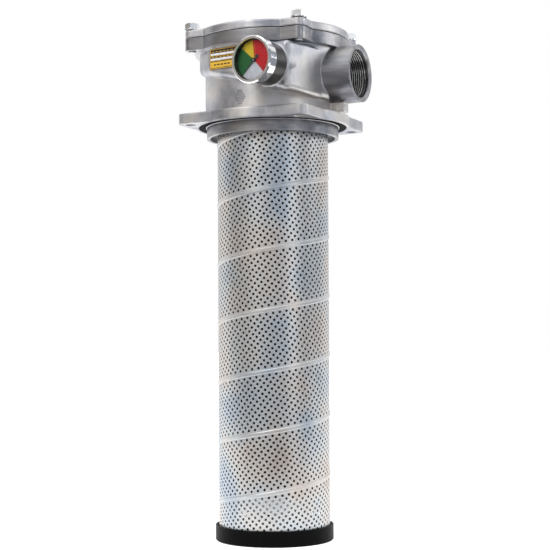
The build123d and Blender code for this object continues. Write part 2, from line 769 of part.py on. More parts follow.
def gauge_sector():
    """The toothed quadrant on its arbor, one tooth on the line of centres at rest."""
    pitch_deg = 360 / (PINION_TEETH * GEAR_RATIO)
    last_deg = SECTOR_AT_DEG + 180 + 2 * pitch_deg
    first_deg = last_deg - pitch_deg * (SECTOR_TEETH - 1)
    teeth = toothed(sector_r(), SECTOR_TEETH, first_deg, pitch_deg, 0.3, 0.13)
    hub = Circle(3 * ARBOR_R)
    tail_w = 4 * (LINK_PIN_R + LINK_PIN_FIT)
    tail = Rot(0, 0, SECTOR_AT_DEG) * (Pos(TAIL_LENGTH / 2, 0) * SlotCenterToCenter(TAIL_LENGTH, tail_w))
    hole = Rot(0, 0, SECTOR_AT_DEG) * (Pos(TAIL_LENGTH, 0) * Circle(LINK_PIN_R + LINK_PIN_FIT))
    outline = Polygon((0, 0), *teeth, align=None) + hub + tail - hole
    plate = Pos(0, 0, sector_z()) * extrude(outline, SECTOR_T)
    arbor = disc(ARBOR_R, plate_z(), plate_z() + 2 * PLATE_T + PLATE_GAP)
    return Pos(*sector_pivot()) * (plate + arbor)


def gauge_pinion():
    """The pinion and the arbor that carries the pointer."""
    pitch_deg = 360 / PINION_TEETH
    teeth = toothed(pinion_r(), PINION_TEETH, SECTOR_AT_DEG + pitch_deg / 2, pitch_deg, 0.24, 0.08)
    middle = sector_z() + SECTOR_T / 2
    gear = Pos(0, 0, middle - PINION_WIDTH / 2) * extrude(Polygon(*teeth, align=None), PINION_WIDTH)
    return gear + disc(ARBOR_R, plate_z(), hub_top())


def gauge_link():
    """The bar between the sector's tail and the tube's tip, with its pin in the tail."""
    along = tube_tip() - tail_pin()
    turn = math.degrees(math.atan2(along.Y, along.X))
    bar = Pos(along.length / 2, 0, link_z()) * extrude(SlotCenterToCenter(along.length, LINK_W), LINK_T)
    pin = disc(LINK_PIN_R, link_z(), sector_z() + SECTOR_T)
    return Pos(*tail_pin()) * Rot(0, 0, turn) * (bar + pin)


def pointer_z():
    return dial_top() + POINTER_GAP


def hub_top():
    return pointer_z() + HUB_H


def gauge_pointer():
    tip, waist, tail = POINTER_TIP_W / 2, POINTER_TAIL_W / 4, POINTER_TAIL_W / 2
    back = -POINTER_TAIL
    lower = ((back, -tail), (0, -waist), (POINTER_LENGTH, -tip))
    upper = ((POINTER_LENGTH, tip), (0, waist), (back, tail))
    outline = Polygon(*lower, *upper, align=None)
    blade = Pos(0, 0, pointer_z()) * extrude(outline, POINTER_T)
    body = blade + disc(HUB_R, pointer_z(), hub_top())
    return Rot(0, 0, ZERO_DEG) * (body - disc(ARBOR_R + ARBOR_FIT, pointer_z(), hub_top()))


PLAIN_PARTS = (
    head_casting, flange_seal, cover_seal, cover, cover_washers, cover_screws, nameplate,
    sleeve_collar, perforated_sleeve, base_cap,
    element_top_cap, element_seal, element_media, element_core, element_bottom_cap,
    bypass_cage, bypass_poppet, bypass_spring, hold_down_spring,
    magnet_rod, ring_magnets, magnet_spacers, magnet_nut,
)
GAUGE_PARTS = (
    gauge_case, gauge_bezel, gauge_lens, gauge_dial, gauge_pointer, gauge_socket,
    gauge_bourdon, gauge_movement, gauge_sector, gauge_pinion, gauge_link,
)


def write(make, place):
    export_step(place * make(), f"parts/{make.__name__}.step")


def main():
    os.makedirs("parts", exist_ok=True)
    for make in PLAIN_PARTS:
        write(make, Location())
    for make in GAUGE_PARTS:
        write(make, facing(GAUGE_SIDE, GAUGE_Z).location)


main()
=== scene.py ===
import json
import math

import bmesh
import bpy
from mathutils import Matrix, Vector

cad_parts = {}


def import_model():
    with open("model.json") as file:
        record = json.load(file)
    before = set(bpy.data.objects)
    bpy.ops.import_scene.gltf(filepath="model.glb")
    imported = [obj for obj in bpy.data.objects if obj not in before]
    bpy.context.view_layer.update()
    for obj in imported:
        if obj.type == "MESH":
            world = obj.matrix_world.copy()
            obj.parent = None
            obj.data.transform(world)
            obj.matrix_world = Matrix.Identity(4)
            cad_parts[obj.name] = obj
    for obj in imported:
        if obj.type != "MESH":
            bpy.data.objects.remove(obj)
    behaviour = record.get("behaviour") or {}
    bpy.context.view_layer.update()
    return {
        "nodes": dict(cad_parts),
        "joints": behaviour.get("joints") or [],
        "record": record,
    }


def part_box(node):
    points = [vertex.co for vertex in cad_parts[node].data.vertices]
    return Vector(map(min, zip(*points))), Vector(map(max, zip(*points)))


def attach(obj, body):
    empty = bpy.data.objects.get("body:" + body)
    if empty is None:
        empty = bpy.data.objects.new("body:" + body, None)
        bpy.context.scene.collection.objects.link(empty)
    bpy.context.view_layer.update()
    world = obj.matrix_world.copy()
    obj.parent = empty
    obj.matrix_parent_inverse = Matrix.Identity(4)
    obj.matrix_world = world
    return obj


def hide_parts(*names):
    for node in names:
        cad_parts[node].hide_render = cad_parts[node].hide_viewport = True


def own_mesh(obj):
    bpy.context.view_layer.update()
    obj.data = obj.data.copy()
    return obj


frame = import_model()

MM = 0.001
MICRON_PLACES = 6
BODY = "filter"


# ---------------------------------------------------------------- sizes, most of them the frame's

def joint(name):
    return next(j for j in frame["joints"] if j["name"] == name)


def mount(name):
    return next(m for m in frame["record"]["mounts"] if m["name"] == name)


def span(node, direction):
    """A node's nearest and farthest reach along a direction, from the frame's origin."""
    reaches = [v.co.dot(direction) for v in frame["nodes"][node].data.vertices]
    return round(min(reaches), MICRON_PLACES), max(reaches)


def bore_radius(node):
    """The radius of the hole through a ring on the filter's own axis."""
    return round(min(v.co.xy.length for v in frame["nodes"][node].data.vertices), MICRON_PLACES)


HEAD_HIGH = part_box("head_casting")[1]
PORT = mount("inlet_port")
PORT_R = PORT["dims"]["r_mm"] * MM
PORT_Z = PORT["pos_m"][2]
PORT_FACE = HEAD_HIGH[0]
PORT_WALL = 5.1 * MM
PORT_BOSS_R = PORT_R + PORT_WALL
PORT_SHADED_TURNED_LENGTH = 30.0 * MM
RIM_THICKNESS = 12.4 * MM
SLEEVE_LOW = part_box("perforated_sleeve")[0]
CAP_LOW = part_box("base_cap")[0]
COLLAR_LOW, COLLAR_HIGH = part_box("sleeve_collar")
SLEEVE_R = bore_radius("sleeve_collar")

NEEDLE = joint("needle_turn")
GAUGE_OUT = Vector(NEEDLE["axis"]).normalized()
GAUGE_UP = Vector((0, 0, 1))
GAUGE_RIGHT = GAUGE_UP.cross(GAUGE_OUT).normalized()
GAUGE_CENTRE = Vector(NEEDLE["pos_m"])


def gauge_matrix(side, height, out):
    """X right, Y up, Z outward, from a point measured like the gauge's own parts."""
    origin = GAUGE_RIGHT * side + GAUGE_UP * height + GAUGE_OUT * out
    turn = Matrix((GAUGE_RIGHT, GAUGE_UP, GAUGE_OUT)).transposed().to_4x4()
    return Matrix.Translation(origin) @ turn


GAUGE_SIDE = GAUGE_CENTRE.dot(GAUGE_RIGHT)
GAUGE_Z = GAUGE_CENTRE.z


# ---------------------------------------------------------------- helpers

def new_piece(name, bm, materials, smooth=False, body=BODY):
    """Turns a finished bmesh into a piece that rides on a body."""
    mesh = bpy.data.meshes.new(name)
    bm.to_mesh(mesh)
    bm.free()
    piece = bpy.data.objects.new(name, mesh)
    bpy.context.scene.collection.objects.link(piece)
    for material in materials:
        mesh.materials.append(material)
    if smooth:
        mesh.polygons.foreach_set("use_smooth", [True] * len(mesh.polygons))
    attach(piece, body)
    return piece


def dress(node, material):
    """Gives every slot of a CAD node one material."""
    mesh = frame["nodes"][node].data
    mesh.materials.clear()
    mesh.materials.append(material)


FACE_MARGIN = 0.5 * MM


def dress_shaded_turned_faces():
    """The rim, the spigot and the port's outside are turned, so they are smoother, and their darker tone
    is painted shade.
    """
    mesh = frame["nodes"]["head_casting"].data
    mesh.materials.append(SHADED_TURNED)
    for face in mesh.polygons:
        middle = face.center
        beside = math.hypot(middle.y, middle.z - PORT_Z)
        on_port = middle.x > PORT_FACE - PORT_SHADED_TURNED_LENGTH and beside < PORT_BOSS_R + FACE_MARGIN
        on_rim = middle.z > HEAD_HIGH[2] - RIM_THICKNESS
        if on_port or on_rim or middle.z < -FACE_MARGIN:
            face.material_index = 1


class Nodes:
    """A material's node tree, with short calls to add and join nodes."""

    def __init__(self, name):
        self.material = bpy.data.materials.new(name)
        self.material.use_nodes = True
        self.tree = self.material.node_tree
        self.shader = self.tree.nodes["Principled BSDF"]

    def add(self, kind, **settings):
        node = self.tree.nodes.new(kind)
        for key, value in settings.items():
            if key in node.inputs:
                node.inputs[key].default_value = value
            else:
                setattr(node, key, value)
        return node

    def join(self, source, target):
        self.tree.links.new(source, target)

    def set(self, **values):
        for key, value in values.items():
            self.shader.inputs[key.replace("_", " ")].default_value = value

    def place(self):
        return self.add("ShaderNodeTexCoord").outputs["Object"]

    def noise(self, scale, detail=4.0, rough=0.5, stretch=None):
        source = self.place()
        if stretch:
            mapping = self.add("ShaderNodeMapping")
            mapping.inputs["Scale"].default_value = stretch
            self.join(source, mapping.inputs["Vector"])
            source = mapping.outputs["Vector"]
        noise = self.add("ShaderNodeTexNoise", Scale=scale, Detail=detail, Roughness=rough)
        self.join(source, noise.inputs["Vector"])
        return noise.outputs["Fac"]

    def ramp(self, value, stops):
        ramp = self.add("ShaderNodeValToRGB")
        while len(ramp.color_ramp.elements) < len(stops):
            ramp.color_ramp.elements.new(0.5)
        for element, (at, colour) in zip(ramp.color_ramp.elements, stops):
            element.position = at
            element.color = (*colour, 1.0)
        self.join(value, ramp.inputs["Fac"])
        return ramp.outputs["Color"]

    def spread(self, value, low, high):
        mapped = self.add("ShaderNodeMapRange")
        mapped.inputs["To Min"].default_value = low
        mapped.inputs["To Max"].default_value = high
        self.join(value, mapped.inputs["Value"])
        return mapped.outputs["Result"]

    def bump(self, height, strength, distance, rounding=0.0):
        bump = self.add("ShaderNodeBump", Strength=strength, Distance=distance)
        self.join(height, bump.inputs["Height"])
        if rounding:
            bevel = self.add("ShaderNodeBevel", Radius=rounding)
            bevel.samples = 6
            self.join(bevel.outputs["Normal"], bump.inputs["Normal"])
        self.join(bump.outputs["Normal"], self.shader.inputs["Normal"])


# ---------------------------------------------------------------- materials

def aluminium(name, tones, stretch, rough_low, rough_high, rounding):
    """Aluminium skin: soft sheen, cloudy cool and warm tones, a fine grain."""
    n = Nodes(name)
    stops = list(zip((0.38, 0.5, 0.62), tones))
    n.join(n.ramp(n.noise(22.0, 4.0, 0.6, stretch), stops), n.shader.inputs["Base Color"])
    n.set(Metallic=1.0)
    n.join(n.spread(n.noise(60.0, 5.0, 0.6), rough_low, rough_high), n.shader.inputs["Roughness"])
    n.bump(n.noise(900.0, 3.0, 0.6), 0.22, 0.0004, rounding)
    return n.material


def galvanised():
    """Zinc-coated strip: pale, with cloudy cool and warm patches of painted reflection, and a fine grain.
    """
    n = Nodes("galvanised_strip")
    painted_reflections = n.noise(16.0, 2.0, 0.5, stretch=(1.0, 1.0, 0.8))
    stops = [
        (0.34, (0.46, 0.51, 0.57)), (0.45, (0.57, 0.59, 0.60)),
        (0.56, (0.62, 0.59, 0.565)), (0.68, (0.59, 0.52, 0.47)),
    ]
    n.join(n.ramp(painted_reflections, stops), n.shader.inputs["Base Color"])
    n.set(Metallic=0.9)
    n.join(n.spread(n.noise(220.0, 4.0, 0.6), 0.30, 0.48), n.shader.inputs["Roughness"])
    n.bump(n.noise(1200.0, 2.0, 0.5), 0.12, 0.0002)
    return n.material


def plain_metal(name, colour, roughness, grain=0.05, rounding=0.0004):
    """Bare or plated metal of one tone, with a faint mottle and an uneven gloss."""
    n = Nodes(name)
    shade = n.noise(120.0, 3.0, 0.5)
    dark = tuple(c * 0.88 for c in colour)
    n.join(n.ramp(shade, [(0.35, dark), (0.65, colour)]), n.shader.inputs["Base Color"])
    n.set(Metallic=1.0)
    gloss = n.spread(n.noise(400.0, 3.0, 0.5), roughness - grain, roughness + grain)
    n.join(gloss, n.shader.inputs["Roughness"])
    n.bump(n.noise(1500.0, 2.0, 0.5), 0.06, 0.0002, rounding=rounding)
    return n.material


def paint(name, colour, roughness, specular=0.5, texture=0.05):
    """A printed, painted or moulded surface with a faint mottle."""
    n = Nodes(name)
    dark = tuple(c * 0.85 for c in colour)
    n.join(n.ramp(n.noise(300.0, 3.0, 0.5), [(0.35, dark), (0.65, colour)]), n.shader.inputs["Base Color"])
    n.set(Metallic=0.0, Roughness=roughness, Specular_IOR_Level=specular)
    n.bump(n.noise(1500.0, 2.0, 0.5), texture, 0.0002)
    return n.material


def clear_glass():
    """Clear glass: its low alpha lets most rays straight through."""
    n = Nodes("gauge_glass")
    n.set(IOR=1.45, Transmission_Weight=1.0, Alpha=0.12)
    n.join(n.spread(n.noise(40.0), 0.02, 0.05), n.shader.inputs["Roughness"])
    return n.material


CAST_TONES = ((0.33, 0.34, 0.38), (0.50, 0.50, 0.52), (0.62, 0.595, 0.57))
# The turned faces' darker tones are painted shade, over a smoother turned finish.
SHADED_TURNED_TONES = ((0.20, 0.205, 0.23), (0.29, 0.29, 0.31), (0.38, 0.37, 0.36))
CAST = aluminium("cast_aluminium", CAST_TONES, (1.0, 1.0, 1.0), 0.33, 0.50, 0.0022)
SHADED_TURNED = aluminium("shaded_turned_aluminium", SHADED_TURNED_TONES, (0.3, 3.0, 3.0), 0.26, 0.40, 0.0010)
STRIP = galvanised()
ZINC = plain_metal("bright_zinc", (0.74, 0.75, 0.76), 0.28)
STEEL = plain_metal("plain_steel", (0.55, 0.55, 0.56), 0.38)
SPRING = plain_metal("spring_steel", (0.30, 0.30, 0.32), 0.4)
CHROME = plain_metal("chrome", (0.86, 0.86, 0.87), 0.07, grain=0.02, rounding=0.0)
THREAD = plain_metal("cut_thread", (0.66, 0.65, 0.63), 0.22, rounding=0.0)
# The thread's roots are painted near black: painted shade deep in the grooves.
THREAD_ROOT_SHADE = plain_metal("thread_root_painted_shade", (0.10, 0.10, 0.10), 0.3, rounding=0.0)
BRASS = plain_metal("brass", (0.72, 0.55, 0.28), 0.3)
MAGNET = plain_metal("sintered_magnet", (0.15, 0.15, 0.16), 0.55)
RUBBER = paint("black_rubber", (0.009, 0.009, 0.009), 0.8, 0.08)
CAP_BLACK = paint("satin_black_cap", (0.003, 0.003, 0.0033), 0.45, 0.05, 0.12)
CASE_BLACK = paint("gloss_black_case", (0.03, 0.027, 0.024), 0.3, 0.5)
POINTER_BLACK = paint("pointer_black", (0.012, 0.012, 0.012), 0.5)
# The media's dark brown is painted shade: the dim inside of the sleeve, seen through its holes.
SHADED_MEDIA = paint("filter_media", (0.17, 0.15, 0.12), 0.9, 0.1, 0.4)
SPACER = paint("spacer_plastic", (0.08, 0.08, 0.08), 0.5)
GREEN = paint("print_green", (0.006, 0.10, 0.022), 0.45, 0.3)
YELLOW = paint("print_yellow", (0.60, 0.43, 0.02), 0.45, 0.3)
RED = paint("print_red", (0.46, 0.006, 0.010), 0.45, 0.3)
PALE = paint("print_pale_grey", (0.50, 0.51, 0.56), 0.45)
INK = paint("print_black", (0.012, 0.011, 0.01), 0.5)
LABEL_YELLOW = paint("label_yellow", (0.72, 0.42, 0.03), 0.42)
LABEL_WHITE = paint("label_white", (0.74, 0.72, 0.72), 0.45)
GLASS = clear_glass()

NODE_MATERIALS = {
    "head_casting": CAST, "cover": CAST, "perforated_sleeve": STRIP, "sleeve_collar": STEEL,
    "cover_screws": ZINC, "cover_washers": ZINC, "magnet_nut": ZINC,
    "flange_seal": RUBBER, "cover_seal": RUBBER, "element_seal": RUBBER,
    "base_cap": CAP_BLACK, "element_top_cap": STEEL, "element_bottom_cap": STEEL,
    "element_media": SHADED_MEDIA, "element_core": STEEL, "bypass_cage": STEEL, "bypass_poppet": STEEL,
    "bypass_spring": SPRING, "hold_down_spring": SPRING, "magnet_rod": STEEL,
    "ring_magnets": MAGNET, "magnet_spacers": SPACER, "nameplate": INK,
    "gauge_case": CASE_BLACK, "gauge_bezel": CHROME, "gauge_lens": GLASS, "gauge_dial": INK,
    "gauge_pointer": POINTER_BLACK, "gauge_socket": BRASS, "gauge_bourdon": BRASS,
    "gauge_movement": BRASS, "gauge_sector": BRASS, "gauge_pinion": ZINC, "gauge_link": BRASS,
}


# ---------------------------------------------------------------- perforated sleeve

PITCH = 61.0 * MM
SEAM_AZIMUTH = math.radians(-62.6)
SEAM_Z = -66.7 * MM
HOLE_R = 1.35 * MM
HOLE_STEP = 6.86 * MM
ROW_STEP = HOLE_STEP / 2
ROWS = 16
WALL = 0.9 * MM
# The row of holes just below the seam lies a little deeper than the rest of the strip
FOLD = -0.3 * MM
FOLD_EDGE = 0.3 * MM
HOLE_SIDES = 8
END_MARGIN = 2.0 * MM
SLOPE = math.atan2(PITCH, 2 * math.pi * SLEEVE_R)
STRIP_WIDTH = PITCH * math.cos(SLOPE)
FIRST_ROW = (STRIP_WIDTH - (ROWS - 1) * ROW_STEP) / 2
RIDGE_HALF = 2.6
# The seam's profile in mm, across the strip and outward, from that row up to the flush row above
RIDGE = [(-2.6, -0.3), (-2.3, 0.5), (-1.8, 0.78), (0.8, 0.8), (1.3, 0.45), (1.7, 0.05), (2.6, 0.0)]


def on_sleeve(along, across, lift):
    """A point of the strip, along and across its seam, wrapped round the sleeve."""
    round_way = along * math.cos(SLOPE) - across * math.sin(SLOPE)
    z = SEAM_Z + along * math.sin(SLOPE) + across * math.cos(SLOPE)
    angle = SEAM_AZIMUTH + round_way / SLEEVE_R
    radius = SLEEVE_R + lift
    return radius * math.cos(angle), radius * math.sin(angle), z


class Strip:
    """The wound strip's mesh: its vertices are shared by their place on the strip."""

    def __init__(self):
        self.bm = bmesh.new()
        self.found = {}

    def vert(self, along, across, lift):
        key = (round(along / MM, 3), round(across / MM, 3), round(lift / MM, 3))
        if key not in self.found:
            self.found[key] = self.bm.verts.new(on_sleeve(along, across, lift))
        return self.found[key]

    def quad(self, a0, a1, low, high):
        (v0, l0), (v1, l1) = low, high
        corners = [(a0, v0, l0), (a1, v0, l0), (a1, v1, l1), (a0, v1, l1)]
        self.bm.faces.new([self.vert(*c) for c in corners])

    def cell(self, middle, row, bottom, top, lift):
        """A rectangle of sheet round one punched hole, with the hole's own wall."""
        half = HOLE_STEP / 2
        edge = [(middle - half, bottom), (middle, bottom), (middle + half, bottom)]
        edge += [(middle + half, top), (middle, top), (middle - half, top)]
        rim, foot = [], []
        for k in range(HOLE_SIDES):
            angle = 2 * math.pi * (k + 0.5) / HOLE_SIDES
            a, v = middle + HOLE_R * math.cos(angle), row + HOLE_R * math.sin(angle)
            rim.append(self.vert(a, v, lift))
            foot.append(self.vert(a, v, lift - WALL))
        corners = [self.vert(a, v, lift) for a, v in edge]
        low_l, low_m, low_r, top_r, top_m, top_l = corners
        for face in (
            (low_l, low_m, rim[5], rim[4]), (low_m, rim[6], rim[5]), (low_m, low_r, rim[7], rim[6]),
            (low_r, rim[0], rim[7]), (low_r, top_r, rim[0]), (top_r, top_m, rim[1], rim[0]),
            (top_m, rim[2], rim[1]), (top_m, top_l, rim[3], rim[2]), (top_l, rim[4], rim[3]),
            (top_l, low_l, rim[4]),
        ):
            self.bm.faces.new(face)
        for k in range(HOLE_SIDES):
            after = (k + 1) % HOLE_SIDES
            self.bm.faces.new((rim[k], rim[after], foot[after], foot[k]))


def wound_strip(name, z_low, z_high):
    """The part of the wound strip whose cells lie between two heights."""
    strip = Strip()
    rise = HOLE_STEP * math.sin(SLOPE)
    first = math.floor((z_low - SEAM_Z) / rise) - 1
    last = math.ceil((z_high - SEAM_Z + STRIP_WIDTH) / rise) + 1
    for column in range(first, last):
        start = column * HOLE_STEP
        for row in range(ROWS):
            across = -FIRST_ROW - row * ROW_STEP
            middle = start + (row % 2) * ROW_STEP
            z = on_sleeve(middle, across, 0)[2]
            if z_low <= z < z_high:
                lift = FOLD if row == 0 else 0.0
                top = across + ROW_STEP / 2 - (FOLD_EDGE if row == 1 else 0.0)
                strip.cell(middle, across, across - ROW_STEP / 2, top, lift)
        for half in (0, 1):
            a0 = start + half * ROW_STEP
            a1 = a0 + ROW_STEP
            if z_low <= on_sleeve(a0, 0, 0)[2] < z_high:
                for below, above in zip(RIDGE, RIDGE[1:]):
                    strip.quad(a0, a1, scaled(below), scaled(above))
                edge = -FIRST_ROW - ROW_STEP / 2
                strip.quad(a0, a1, (edge - FOLD_EDGE, 0.0), (edge, FOLD))
    trim(strip.bm, SLEEVE_LOW[2], -1)
    trim(strip.bm, COLLAR_LOW[2], 1)
    return new_piece(name, strip.bm, [STRIP])


def trim(bm, z, side):
    """Cuts away what lies above (side 1) or below (side -1) a level."""
    parts = bm.verts[:] + bm.edges[:] + bm.faces[:]
    bmesh.ops.bisect_plane(bm, geom=parts, plane_co=(0, 0, z), plane_no=(0, 0, side), clear_outer=True)


def scaled(point):
    """A ridge point in metres, spread so that the profile's ends meet the rows of holes."""
    across, lift = point
    return across * (FIRST_ROW - ROW_STEP / 2) / RIDGE_HALF, lift * MM


def sleeve():
    """Two lengths of wound strip, each under 100,000 triangles, stand in for the CAD sleeve."""
    middle = (SLEEVE_LOW[2] + COLLAR_LOW[2]) / 2
    lower = wound_strip("sleeve_strip_lower", SLEEVE_LOW[2] + END_MARGIN, middle)
    upper = wound_strip("sleeve_strip_upper", middle, COLLAR_HIGH[2] - END_MARGIN)
    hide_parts("perforated_sleeve")
    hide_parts("perforated_sleeve")


# ---------------------------------------------------------------- port thread

THREAD_PITCH = 2.309 * MM
THREAD_DEPTH = 1.3 * MM
THREAD_ROOT = 0.2 * MM
THREAD_START = 1.6 * MM
THREAD_LENGTH = 24.0 * MM
THREAD_SIDES = 96
THREAD_STEPS = 8
THREAD_PEAK = 1.15
THREAD_FLANK = 1.6


def thread_radius(step, steps):
    """Bore radius less the root's gap and the ridge, which dies away at both ends."""
    phase = (step / THREAD_STEPS) % 1.0
    ridge = max(0.0, THREAD_PEAK - abs(2 * THREAD_PEAK * phase - THREAD_PEAK) * THREAD_FLANK)
    fade = min(1.0, step / THREAD_STEPS, (steps - step) / THREAD_STEPS)
    return PORT_R - THREAD_ROOT - THREAD_DEPTH * min(1.0, ridge) * max(0.0, fade)


def port_thread():
    """The cut thread: one grid wound so that its rows follow the helix."""
    bm = bmesh.new()
    steps = int(THREAD_LENGTH / THREAD_PITCH) * THREAD_STEPS
    grid = []
    for step in range(steps + 1):
        radius = thread_radius(step, steps)
        row = []
        for side in range(THREAD_SIDES):
            angle = 2 * math.pi * side / THREAD_SIDES
            depth = (step / THREAD_STEPS + side / THREAD_SIDES) * THREAD_PITCH
            x = PORT_FACE - THREAD_START - depth
            row.append(bm.verts.new((x, radius * math.cos(angle), PORT_Z + radius * math.sin(angle))))
        grid.append(row)
    for step in range(steps):
        for side in range(THREAD_SIDES):
            near, far = grid[step], grid[step + 1]
            if side + 1 < THREAD_SIDES:
                bm.faces.new((near[side], near[side + 1], far[side + 1], far[side]))
            elif step + 1 + THREAD_STEPS <= steps:
                after, beyond = grid[step + THREAD_STEPS], grid[step + 1 + THREAD_STEPS]
                bm.faces.new((near[side], after[0], beyond[0], far[side]))
    bmesh.ops.recalc_face_normals(bm, faces=bm.faces)
    # Faces out near the bore wall, in the thread's roots, take the painted shade.
    for face in bm.faces:
        middle = face.calc_center_median()
        beside = math.hypot(middle.y, middle.z - PORT_Z)
        face.material_index = int(beside > PORT_R - THREAD_ROOT - 0.5 * THREAD_DEPTH)
    return new_piece("port_thread", bm, [THREAD, THREAD_ROOT_SHADE], smooth=True)


# ---------------------------------------------------------------- dial and label print

PRINT_LIFT = 0.04 * MM
DASH_LIFT = 3.5 * PRINT_LIFT
DIAL_R = 19.3 * MM
DIAL_HOLE_R = 1.2 * MM
DIAL_HUB_R = 3.0 * MM
MARK_RING_R = 18.2 * MM
MARK_RING_WIDTH = 0.25 * MM
MARKS = 10
MARK_STEP = 30
# Start and end angle in degrees, and the place of the colour in the print's materials
SECTORS = ((227, 138, 0), (138, 95, 1), (95, -50, 2), (-50, -133, 3))


def fan(bm, start, end, inner, outer, material, steps=None):
    """A flat ring sector in the XY plane, angles in degrees."""
    steps = steps or max(2, int(abs(end - start) / 4))
    angles = [math.radians(start + (end - start) * k / steps) for k in range(steps + 1)]
    far = [bm.verts.new((outer * math.cos(a), outer * math.sin(a), 0)) for a in angles]
    near = [bm.verts.new((inner * math.cos(a), inner * math.sin(a), 0)) for a in angles]
    for k in range(steps):
        face = bm.faces.new((near[k], near[k + 1], far[k + 1], far[k]))
        face.material_index = material


def dial_face():
    """The dial's face lies under its raised rim, so it is measured near the hub."""
    near = []
    for vertex in frame["nodes"]["gauge_dial"].data.vertices:
        offset = vertex.co - GAUGE_CENTRE
        if (offset - GAUGE_OUT * offset.dot(GAUGE_OUT)).length < DIAL_HUB_R:
            near.append(vertex.co.dot(GAUGE_OUT))
    return max(near)


def dial_print():
    """The coloured sectors, and over them a scale of long and short marks."""
    out = dial_face()
    bm = bmesh.new()
    for start, end, material in SECTORS:
        fan(bm, start, end, DIAL_HOLE_R, DIAL_R, material)
    bm.transform(gauge_matrix(GAUGE_SIDE, GAUGE_Z, out + PRINT_LIFT))
    bmesh.ops.recalc_face_normals(bm, faces=bm.faces)
    new_piece("dial_print", bm, [GREEN, YELLOW, RED, PALE])
    marks = bmesh.new()
    for k in range(MARKS):
        angle = 225 - MARK_STEP * k
        width, inner = (1.1, 16.4 * MM) if k % 3 else (1.8, 15.2 * MM)
        fan(marks, angle - width / 2, angle + width / 2, inner, MARK_RING_R, 0, 1)
    fan(marks, 225, -45, MARK_RING_R, MARK_RING_R + MARK_RING_WIDTH, 0)
    marks.transform(gauge_matrix(GAUGE_SIDE, GAUGE_Z, out + 2 * PRINT_LIFT))
    new_piece("dial_marks", marks, [INK])


def block(bm, left, right, bottom, top, material, lift):
    """A printed rectangle, its edges in mm."""
    corners = [(left, bottom), (right, bottom), (right, top), (left, top)]
    face = bm.faces.new([bm.verts.new((x * MM, y * MM, lift)) for x, y in corners])
    face.material_index = material


def label_print():
    """Plain fields with no words: a yellow border round black, white and yellow, and dashes."""
    left_edge = span("nameplate", GAUGE_RIGHT)[0]
    face = span("nameplate", GAUGE_OUT)[1]
    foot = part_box("nameplate")[0][2]
    bm = bmesh.new()
    # left, right, bottom and top in mm from the plate's corner, and the colour's place
    fields = [
        (0.4, 46.6, 0.4, 20.6, 0), (1.1, 45.9, 1.1, 19.9, 1),
        (1.1, 45.9, 14.0, 16.2, 2), (1.1, 29.5, 9.0, 11.2, 2), (31.0, 45.9, 9.0, 11.2, 2),
        (1.1, 45.9, 13.3, 13.7, 0), (1.1, 29.5, 8.2, 8.6, 0),
        (1.1, 29.5, 1.7, 7.4, 0), (31.0, 45.9, 3.4, 5.4, 2),
    ]
    for layer, (left, right, bottom, top, material) in enumerate(fields):
        block(bm, left, right, bottom, top, material, PRINT_LIFT * (1 + min(layer, 2)))
    for row in (17.6, 12.2):
        for dash in range(9):
            start = 2.5 + 4.6 * dash
            block(bm, start, start + 3.1, row - 0.35, row + 0.35, 0, DASH_LIFT)
    for dash in range(5):
        start = 5.0 + 4.2 * dash
        block(bm, start, start + 3.2, 3.9, 5.2, 1, DASH_LIFT)
    bm.transform(gauge_matrix(left_edge, foot, face))
    new_piece("label_print", bm, [LABEL_YELLOW, INK, LABEL_WHITE])


# ---------------------------------------------------------------- cast dot patch on the neck

SLEEVE_TO_NECK = 12.2 * MM
NECK_R = round(SLEEVE_R + SLEEVE_TO_NECK, MICRON_PLACES)
DOT_AZIMUTH = math.radians(-90.7)
DOT_Z = 22.5 * MM
DOT_PITCH = 1.9 * MM
DOT_R = 0.7 * MM
DOT_RISE = 0.6 * MM
PATCH_WIDTH = 6.0 * MM
PATCH_HEIGHT = 7.5 * MM


def cast_dots():
    """A patch of small raised dots cast into the neck below the label."""
    bm = bmesh.new()
    for row in range(-4, 5):
        for column in range(-4, 5):
            across = (column + row % 2 / 2) * DOT_PITCH
            up = row * DOT_PITCH * 0.87
            if (across / PATCH_WIDTH) ** 2 + (up / PATCH_HEIGHT) ** 2 > 1:
                continue
            angle = DOT_AZIMUTH + across / NECK_R
            place = Matrix.Translation((NECK_R * math.cos(angle), NECK_R * math.sin(angle), DOT_Z + up))
            turn = Matrix.Rotation(angle, 4, "Z") @ Matrix.Diagonal((DOT_RISE / DOT_R, 1, 1, 1))
            bmesh.ops.create_icosphere(bm, subdivisions=2, radius=DOT_R, matrix=place @ turn)
    new_piece("cast_dots", bm, [SHADED_TURNED], smooth=True)


# ---------------------------------------------------------------- bypass spring

def bypass_coil():
    """The bypass spring shortens as its poppet opens; a copy of it stands in for the CAD spring, which is
    hidden.
    """
    bm = bmesh.new()
    bm.from_mesh(frame["nodes"]["bypass_spring"].data)
    piece = new_piece("bypass_coil", bm, [SPRING], smooth=True)
    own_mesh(piece)
    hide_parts("bypass_spring")


# ---------------------------------------------------------------- stage

CAMERA_AZIMUTH = 27.4
CAMERA_DISTANCE = 1.388
CAMERA_Z = -0.214
CAMERA_PITCH = 1.35
CAMERA_ROLL = -0.30
CAMERA_YAW = -0.06
CAMERA_LENS = 87.4
CAMERA_SHIFT = 0.05


